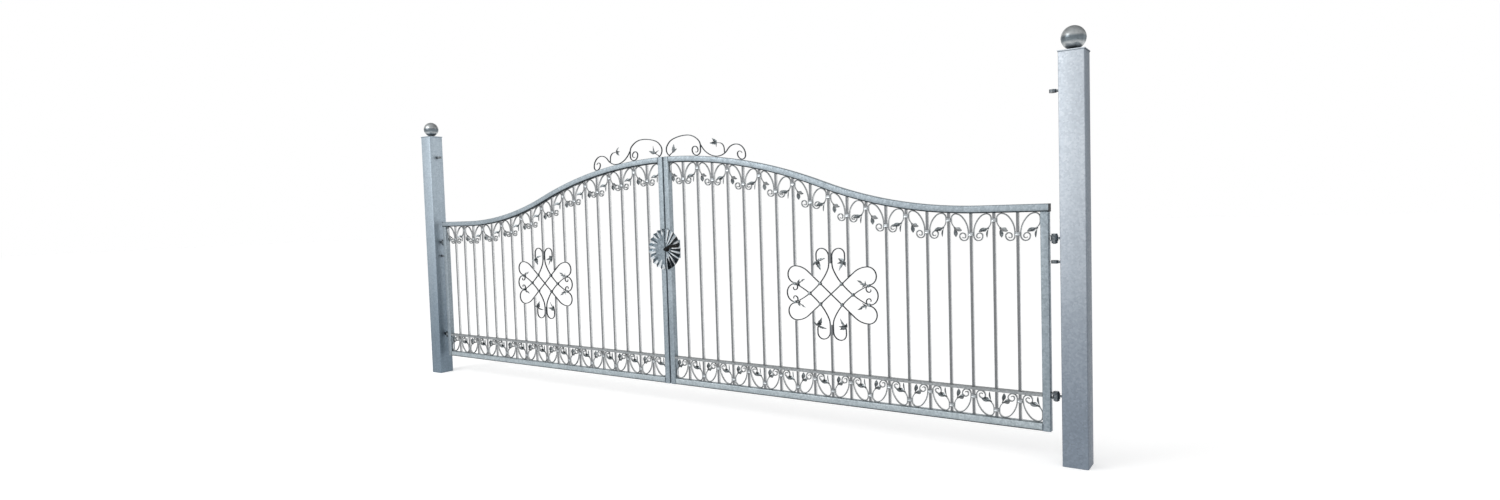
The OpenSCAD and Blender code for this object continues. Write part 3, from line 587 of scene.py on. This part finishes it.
def frieze(side, body, upper):
    work, leaves, collars = Work(side), Work(side), Work(side)
    for k in range(BARS + 1):
        x0 = bar_x(k + 1 if k % 2 == 0 else k)
        way = -1 if k % 2 == 0 else 1
        span = SPAN_STILE if k in (0, BARS) else SPAN_BAR
        volute, arch, tail = scroll(span, COLLAR_TOP if upper else COLLAR_LOW)
        if upper:
            # Volute and tail hang from the rail as they are, the arch leans with it
            stem, end = x0 + way * STEM_X, x0 + way * arch[-1][0]
            pts = [(x0 + way * x, z + rail_z(stem, TUBE)) for x, z in volute]
            pts += [(x0 + way * x, z + rail_z(x0 + way * x, TUBE)) for x, z in arch]
            pts += [(x0 + way * x, z + rail_z(end, TUBE)) for x, z in tail]
        else:
            pts = [(x0 + way * x, TUBE - z) for x, z in volute + arch + tail]
        work.strip(pts, STRIP, *FRIEZE_DRAWN)
        hand = way if upper else -way
        heading = (180 if way > 0 else 0) + hand * LEAF_DIP
        leaves.sprig(pts[-1], heading, FACE_LEAVES, hand, STALKED)
        (leaves if way == SIDES[side] else work).sprig(pts[-1], heading, FRONT_LEAF, hand, STALKED)
    for n in range(1, BARS + 1):
        low = n % 2 == 1
        if upper:
            collars.collar(bar_x(n), rail_z(bar_x(n), TUBE) - (COLLAR_TOP if low else COLLAR_HIGH))
        else:
            collars.collar(bar_x(n), TUBE + (COLLAR_LOW if low else COLLAR_HIGH))
    which = "top" if upper else "bottom"
    work.piece(f"{side}_{which}_frieze", body, scroll_zinc, "scroll_zinc", [f"{side}_{which}_scrolls"])
    leaves.piece(f"{side}_{which}_frieze_leaves", body, leaf_zinc, "scroll_zinc")
    collars.piece(f"{side}_{which}_frieze_collars", body, forged_collar_painted_highlight, "scroll_zinc")


# Knot ornament and crest, with radii and lengths in pitches

# Their bar is drawn thinner and shallower than the solids', because that is how slim it looks
KNOT_SLIM, KNOT_SHALLOW = 1, 3
KNOT_STRIP = rounded(KNOT_T - KNOT_SLIM, STRIP_DEEP - KNOT_SHALLOW, 1.8, 2)
KNOT_TWIG, CREST_TWIG = rounded(4, 6, 1.4, 2), rounded(5, 9, 1.6, 2)
SLOPE = 40.6
STEM_SIDE, STEM_Z = BAR / 2 + KNOT_T / 2, 1.507 * PITCH
JUNCTION = (2.043 * PITCH, 0.46 * PITCH)
# Where the stems cross the level line and the diagonals, and the turns of the studs there and at the junctions
LEVEL_CROSS, LEVEL_TURN = 1.19 * PITCH, 45
SLOPE_CROSS, SLOPE_TURN, JUNCTION_TURN = 0.778 * PITCH, 43.6, 20
SIDE_SPRIG = [(48, 20, 35, 0.24), (-42, -15, -30, 0.22), (6, 30, 20, 0.3)]
TIP_LEAF = [(0, 15, 40, 0.24)]
LOBE_SPRIG = [(0, 15, 35, 0.5), (75, 40, -30, 0.34), (-80, -12, 40, 0.44), (-38, 55, 0, 0.36)]


def knot(side, body):
    work, foliage = Work(side), Work(side)
    cx = bar_x(MIDDLE)

    def set_out(pts):
        return [(cx + x, KNOT_Z + z) for x, z in pts]

    arm = bend_pitch((0, 0), SLOPE, [(1.683, 0), (1.1, -SLOPE), (0.44, -90), (0.42, -90), (0.1, 0)])
    down = bend_pitch((STEM_SIDE, STEM_Z), -90, [(0.766, 25), (2.554, 18), (4.087, 21.5), (0.32, 0)])
    up = bend_pitch((STEM_SIDE, STEM_Z), 90, [(0.34, 0), (0.392, -90), (0.307, -90), (0.2, 0), (0.3, -35)])
    curl = bend_pitch(JUNCTION, 180, [(0.153, 180), (0.094, 120)])
    bow = bend(JUNCTION, 0, [(JUNCTION[1], -90)])
    stem = bend_pitch(arm[-1], 172, [(0.36, -10), (1.0, -15)])
    half = curl[::-1] + bow[1:]
    cross_x, cross_z = SLOPE_CROSS * math.cos(math.radians(SLOPE)), SLOPE_CROSS * math.sin(math.radians(SLOPE))
    for sx in (-1, 1):
        work.strip(set_out(flip(arm, -sx, -1)[::-1] + flip(arm, sx, 1)[1:]), KNOT_STRIP, *ARM_DRAWN)
        work.strip(set_out(flip(half, sx, 1) + flip(half, sx, -1)[::-1][1:]), KNOT_STRIP, *BOW_DRAWN)
        foliage.stud(cx + sx * LEVEL_CROSS, KNOT_Z, LEVEL_TURN)
        for sz in (-1, 1):
            work.strip(set_out(flip(up[::-1] + down[1:], sx, sz)), KNOT_STRIP, *STEM_DRAWN)
            foliage.stud(cx + sx * cross_x, KNOT_Z + sz * cross_z, sx * sz * SLOPE_TURN)
            foliage.stud(cx + sx * JUNCTION[0], KNOT_Z + sz * JUNCTION[1], sx * sz * JUNCTION_TURN)
            work.strip(set_out(flip(stem, sx, sz)), KNOT_TWIG, *KNOT_TWIG_DRAWN)
            for end, heading, leaves in ((stem[2], 160, SIDE_SPRIG), (stem[-1], 150, TIP_LEAF),
                                         (up[-1], 235, LOBE_SPRIG)):
                heading = heading if sz > 0 else -heading
                heading = heading if sx > 0 else 180 - heading
                foliage.sprig(set_out([(sx * end[0], sz * end[1])])[0], heading, leaves, sx * sz)
    work.piece(side + "_knot_ornament", body, bent_bar_zinc_painted_dark, "scroll_zinc", [side + "_knot"])
    foliage.piece(side + "_knot_leaves", body, leaf_zinc, "scroll_zinc")


# The C-scroll's eye, and the S-scroll's dip, rise, hump and eye
C_EYE, S_DIP, S_RISE, S_HUMP, S_EYE = 0.285, 1.13, 0.98, 0.78, 0.255
FOOT_SLOPE, S_SLOPE = 70, 55
FOOT_SPRIG = [(10, 15, 30, 0.44), (-37, 25, -25, 0.4), (64, -20, 30, 0.28)]
TWIG_SPRIG = [(-28, 15, 30, 0.38), (22, 25, -20, 0.4), (75, -20, 25, 0.28)]


def crest(side, body):
    work, foliage = Work(side), Work(side)

    def on_crown(pts):
        return [(x, z + rail_z(x)) for x, z in pts]

    seat = SEAT + KNOT_T / 2
    foot = (FIELD_IN + KNOT_T / 2, SEAT + KNOT_T / 2 * math.sin(math.radians(FOOT_SLOPE)))
    hump = (S_RISE + S_HUMP) * (1 - math.cos(math.radians(S_SLOPE)))
    over = bend_pitch(foot, 160, [(0.378, -100), (0.844, -40), (3.036, -20), (1.128, -40), (0.405, -50)])
    # The C comes down to the crown again and curls up inside
    drop = (over[-1][1] - seat) / PITCH - C_EYE
    c_scroll = over + bend_pitch(over[-1], -90, [(drop, 0), (C_EYE, -180), (0.2, -180), (0.12, -120)])[1:]
    s_scroll = bend_pitch((over[-1][0] + KNOT_T / 2, seat + S_DIP * PITCH / 2), -60,
                          [(S_DIP, 60), (S_RISE, S_SLOPE), (S_HUMP, -S_SLOPE), (hump - S_EYE, -90), (S_EYE, -180),
                           (0.153, -150)])
    bud = bend_pitch((foot[0] - 0.04 * PITCH, foot[1] + 0.035 * PITCH), 32, [(0.38, 0)])
    twig = bend_pitch((4.17 * PITCH, 0.22 * PITCH), 95, [(0.28, 0), (0.28, 85), (0.24, 0)])
    for pts in (c_scroll, s_scroll):
        work.strip(on_crown(pts), KNOT_STRIP, *CREST_DRAWN)
    for pts, heading, leaves in ((bud, 65, FOOT_SPRIG), (twig, 160, TWIG_SPRIG)):
        pts = on_crown(pts)
        work.strip(pts, CREST_TWIG, *CREST_TWIG_DRAWN)
        foliage.sprig(pts[-1], heading, leaves)
    work.piece(side + "_crest_scrolls", body, bent_bar_zinc_painted_dark, "scroll_zinc", [side + "_crest"])
    foliage.piece(side + "_crest_leaves", body, leaf_zinc, "scroll_zinc")


# Lock

# The rosette's sheet, how far its plain face and the ridges of its pleats stand off the stile, and what it clears
SHEET, PLATE_OUT, PLEAT_OUT, CLEAR = 2.5, 5, 13, 0.5
# How much of the radius is plain, where the pleats would be full, and the turn of the pleats to the level line
PLAIN, PLEATS_FULL, PLEAT_TURN = {"left": 0.58, "right": 0.16}, 1.15, 0.37
# Where the painted highlight and painted shade begin beyond the plain part, and how that wanders from crimp to
# crimp
PAINTED_LIGHT_IN, PAINTED_LIGHT_WANDER, WANDER_STEP = 0.12, 0.12, 2.3
# In degrees: how far the half disc stops short of the meeting line, and the angle from which a crimp is sharp
RIM_SHORT, CRIMP_SHARP = 0.5, 18


def smooth(t):
    t = min(max(t, 0), 1)
    return t * t * (3 - 2 * t)


def rosette(side, body):
    """Half of a pressed disc: plain in the middle, crimped into sharp pleats that deepen towards the rim."""
    work = Work(side)
    rim, front, plain = ROSETTE_D / 2, -TUBE / 2, PLAIN[side]
    limit = math.degrees(math.acos(LEAF_IN / (rim - FLUTE_IN))) - RIM_SHORT
    rings, folds = [], []
    steps, spans = 16, FLUTES * 4
    for j in range(spans + 1):
        a = math.radians(-limit + 2 * limit * j / spans)
        fold = abs(2 * ((FLUTES * a / math.tau + PLEAT_TURN) % 1) - 1)
        folds.append(fold)
        outer = rim - FLUTE_IN * (1 - fold)
        inner = LEAF_IN / math.cos(a)
        line, back = [], []
        for i in range(steps + 1):
            r = inner + (outer - inner) * i / steps
            deep = smooth((r / rim - plain) / (PLEATS_FULL - plain))
            y = front - PLATE_OUT - PLEAT_OUT * fold * deep
            behind = front - CLEAR if deep == 0 else min(y + SHEET, front - CLEAR)
            line.append((r * math.cos(a), y, LOCK_Z + r * math.sin(a)))
            back.append((r * math.cos(a), behind, LOCK_Z + r * math.sin(a)))
        rings.append(line + back[::-1])
    work.loft(rings)
    made = work.piece(side + "_crimped_rosette", body, rosette_zinc, "rosette_zinc", [side + "_rosette"],
                      CRIMP_SHARP)
    # Painted light on the crimps: one flank of each has a painted highlight, on the right half only every other
    # one, and the other flank has painted shade
    made.data.materials.append(crimp_painted_highlight)
    made.data.materials.append(crimp_painted_shade[side])
    for j in range(spans):
        crimp = FLUTES * j // spans
        first = plain + PAINTED_LIGHT_IN + PAINTED_LIGHT_WANDER * math.sin(WANDER_STEP * crimp)
        flank = 2 if folds[j + 1] < folds[j] else 0 if side == "right" and crimp % 2 == 1 else 1
        for i in range(steps):
            if (i + 0.5) / steps > first:
                made.data.polygons[j * 2 * (steps + 1) + i].material_index = flank


# The lever's hub begins this far from the leaf's middle. Hub, nut and rose are (way out, radius)
HUB_FACE = 31
HUB = ((0, 13), (0, 15), (2, 16.5), (9, 16.5), (12, 14), (14, 10))
NUT = ((0.6, 9), (0.6, 10.5), (5, 10.5), (6, 9), (6, 2))
ROSE = ((4, 20), (8, 20), (9.5, 18.5), (10, 14), (10, 2))
# The neck starts inside the hub, bends, and leaves room at its end for the rounding: (way out, share of the grip)
NECK_IN, NECK_BEND, END_ROOM = 5, 14, 6
GRIP_END = ((2.2, 0.92), (4.0, 0.72), (5.2, 0.42), (5.6, 0.12))
# Half thickness and half height of the grip, with what they lose along it and how it swells at the middle
GRIP_THIN, THIN_LOSS, GRIP_TALL, TALL_LOSS, GRIP_SWELL = 8.0, 1.0, 9.0, 0.8, 2


def lever():
    """Cast lever on the front face: a turned hub and a neck that rises into a flattened grip with a rounded end.
    Its spindle ends in a turned nut on the back."""
    work = Work("right")
    x0 = LEAF_IN + TUBE / 2
    work.turned(x0, LOCK_Z, [(-HUB_FACE - out, r) for out, r in HUB])
    start = HUB_FACE + NECK_IN
    pts = bend((0, start), 90, [(LEVER_OUT - NECK_BEND - start, 0), (NECK_BEND, -90),
                                (LEVER_LEN - NECK_BEND - END_ROOM, 0)], LEVER_SAG)
    last = len(pts) - 1
    rings = []
    for i, (u, v) in enumerate(pts):
        (ax, ay), (bx, by) = pts[max(i - 1, 0)], pts[min(i + 1, last)]
        size = math.hypot(bx - ax, by - ay)
        nx, ny = -(by - ay) / size, (bx - ax) / size
        k = u / LEVER_LEN
        thin = GRIP_THIN - THIN_LOSS * k
        tall = GRIP_TALL + GRIP_SWELL * math.sin(math.pi * min(k, 1)) - TALL_LOSS * k
        rise = LEVER_RISE * smooth(u / LEVER_RISE_RUN)
        rings.append([(x0 + u + nx * p * thin, -v - ny * p * thin, LOCK_Z + rise + q * tall)
                      for p, q in round_bar(1, 16)])
    end = rings[-1]
    mid = [sum(p[i] for p in end) / len(end) for i in range(3)]
    for out, share in GRIP_END:
        rings.append([(mid[0] + (p[0] - mid[0]) * share + out, mid[1] + (p[1] - mid[1]) * share,
                       mid[2] + (p[2] - mid[2]) * share) for p in end])
    work.loft(rings)
    work.turned(x0, LOCK_Z, [(TUBE / 2 + out, r) for out, r in NUT])
    work.piece("cast_lever", "lever", lever_black, "lever_black", ["lever_handle"])
    rose = Work("right")
    rose.turned(x0, LOCK_Z, [(-TUBE / 2 - out, r) for out, r in ROSE], 32)
    rose.piece("lever_rose", "right_leaf", rosette_zinc, "rosette_zinc")


def dress(name, material):
    """Gives its finish to a solid that stays as it is."""
    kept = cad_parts[name].data.materials
    kept.clear()
    kept.append(material)


for side in SIDES:
    body = side + "_leaf"
    post_tube(side)
    spun_ball(side)
    leaf_frame(side, body)
    leaf_welds(side, body)
    frieze(side, body, upper=True)
    frieze(side, body, upper=False)
    knot(side, body)
    crest(side, body)
    rosette(side, body)
    for name, material in (("post_cap", post_zinc[side]), ("hinge_eyes", bolt_zinc), ("spare_eyes", bolt_zinc),
                           ("strip_rail", strip_zinc), ("bars", bar_zinc), ("hinge_lugs", bolt_zinc),
                           ("hinge_pins", bolt_zinc), ("rail_plug", plug_black)):
        dress(f"{side}_{name}", material)
lever()
dress("lock_case", frame_zinc)

# Studio: a pale floor, a white room behind the gate and soft light from the front. Sizes are in metres

FLOOR_REACH, FLOOR_GLOW = 60, 0.42
# Directions of the room's bright front, of an opening at the back right and of the backdrop
BRIGHT_WAY, OPENING_WAY, BACKDROP_WAY = (0, -0.98, 0.20), (0.788, 0.616, 0), (-0.566, 0.823, -0.047)


def pale_floor():
    """Painted floor that takes the shadow, and is lifted to white where the camera and the metal see it."""
    mesh = bpy.data.meshes.new("pale_floor")
    corners = [(u * FLOOR_REACH, v * FLOOR_REACH, 0) for u, v in ((-1, -1), (1, -1), (1, 1), (-1, 1))]
    mesh.from_pydata(corners, [], [(0, 1, 2, 3)])
    floor = bpy.data.objects.new("pale_floor", mesh)
    bpy.context.scene.collection.objects.link(floor)
    material, tree = new_material("white_painted_floor")
    seen = node(tree, "ShaderNodeLightPath").outputs
    shown = node(tree, "ShaderNodeMath", links={0: seen["Is Camera Ray"], 1: seen["Is Glossy Ray"]},
                 operation="MAXIMUM")
    shown = node(tree, "ShaderNodeMath", links={0: shown.outputs[0], 1: seen["Is Transmission Ray"]},
                 operation="MAXIMUM")
    glow = node(tree, "ShaderNodeMath", {1: FLOOR_GLOW}, {0: shown.outputs[0]}, operation="MULTIPLY")
    lit = node(tree, "ShaderNodeBsdfDiffuse", {"Color": linear("#F4F4F4")})
    white = node(tree, "ShaderNodeEmission", links={"Strength": glow.outputs[0]})
    both = node(tree, "ShaderNodeAddShader", links={0: lit.outputs[0], 1: white.outputs[0]})
    node(tree, "ShaderNodeOutputMaterial", links={"Surface": both.outputs[0]})
    mesh.materials.append(material)


def white_room():
    """A white backdrop behind the gate, where the camera looks. Metal shows it too, and around it the room,
    which is brightest at the front and has a soft opening at the back right."""
    world = bpy.data.worlds.new("white_room")
    bpy.context.scene.world = world
    world.use_nodes = True
    tree = world.node_tree
    tree.nodes.clear()
    way = node(tree, "ShaderNodeTexCoord").outputs["Generated"]
    front, opening, behind = (
        node(tree, "ShaderNodeVectorMath", {1: aim}, {0: way}, operation="DOT_PRODUCT").outputs["Value"]
        for aim in (BRIGHT_WAY, OPENING_WAY, BACKDROP_WAY))
    room = node(tree, "ShaderNodeMapRange", {"From Min": -0.6, "From Max": 0.95, "To Min": 0.3}, {"Value": front})
    opening = node(tree, "ShaderNodeMapRange", {"From Min": 0.86, "From Max": 0.97, "To Max": 0.8},
                   {"Value": opening}, interpolation_type="SMOOTHSTEP")
    room = node(tree, "ShaderNodeMath", links={0: room.outputs[0], 1: opening.outputs[0]}, operation="ADD")
    behind = node(tree, "ShaderNodeMapRange", {"From Min": 0.72, "From Max": 0.86}, {"Value": behind},
                  interpolation_type="SMOOTHSTEP")
    seen = node(tree, "ShaderNodeLightPath").outputs
    metal = node(tree, "ShaderNodeMath", links={0: seen["Is Glossy Ray"], 1: seen["Is Transmission Ray"]},
                 operation="MAXIMUM")
    metal = node(tree, "ShaderNodeMath", links={0: metal.outputs[0], 1: behind.outputs[0]}, operation="MULTIPLY")
    white = node(tree, "ShaderNodeMath", links={0: metal.outputs[0], 1: seen["Is Camera Ray"]},
                 operation="MAXIMUM")
    level = node(tree, "ShaderNodeMix", {3: 1.0}, {0: white.outputs[0], 2: room.outputs[0]}, data_type="FLOAT")
    sky = node(tree, "ShaderNodeBackground", {"Color": (1, 1, 1, 1)}, {"Strength": level.outputs[0]})
    node(tree, "ShaderNodeOutputWorld", links={"Surface": sky.outputs[0]})


def soft_lamp(name, place, aim, size, power):
    lamp = bpy.data.lights.new(name, "AREA")
    lamp.shape, lamp.size, lamp.size_y, lamp.energy = "RECTANGLE", size[0], size[1], power
    made = bpy.data.objects.new(name, lamp)
    bpy.context.scene.collection.objects.link(made)
    made.location = place
    made.rotation_euler = (Vector(aim) - Vector(place)).to_track_quat("-Z", "Y").to_euler()


# The camera's place in millimetres, its turns in radians, its focal length in pixels of a frame that is 1500
# wide, its sensor in millimetres, and how far it sees in metres
CAMERA_AT, YAW, TILT, ROLL = (CENTRE + 3398.5, -3980.6, 1273.1), 0.6020, -0.0473, -0.0305
FOCAL, FRAME_WIDE, SENSOR, FAR = 783.84, 1500, 36, 200


def camera():
    """Stands four metres in front, a little beyond the right post, at chest height, and looks to the left."""
    ahead = Vector((-math.sin(YAW) * math.cos(TILT), math.cos(YAW) * math.cos(TILT), math.sin(TILT)))
    level = Vector((math.cos(YAW), math.sin(YAW), 0))
    up = level.cross(ahead)
    across = math.cos(ROLL) * level + math.sin(ROLL) * up
    up = math.cos(ROLL) * up - math.sin(ROLL) * level
    data = bpy.data.cameras.new("photo_camera")
    data.sensor_fit, data.sensor_width, data.lens = "HORIZONTAL", SENSOR, FOCAL / FRAME_WIDE * SENSOR
    data.clip_end = FAR
    made = bpy.data.objects.new("photo_camera", data)
    bpy.context.scene.collection.objects.link(made)
    turn = Matrix([(across[i], up[i], -ahead[i]) for i in range(3)]).to_4x4()
    made.matrix_world = Matrix.Translation(Vector(CAMERA_AT) / 1000) @ turn
    bpy.context.scene.camera = made


pale_floor()
white_room()
soft_lamp("key", place=(-0.5, -5.5, 4.6), aim=(2.6, 0, 0.9), size=(4.0, 3.0), power=160)
camera()
bpy.context.scene.view_settings.view_transform = "Standard"
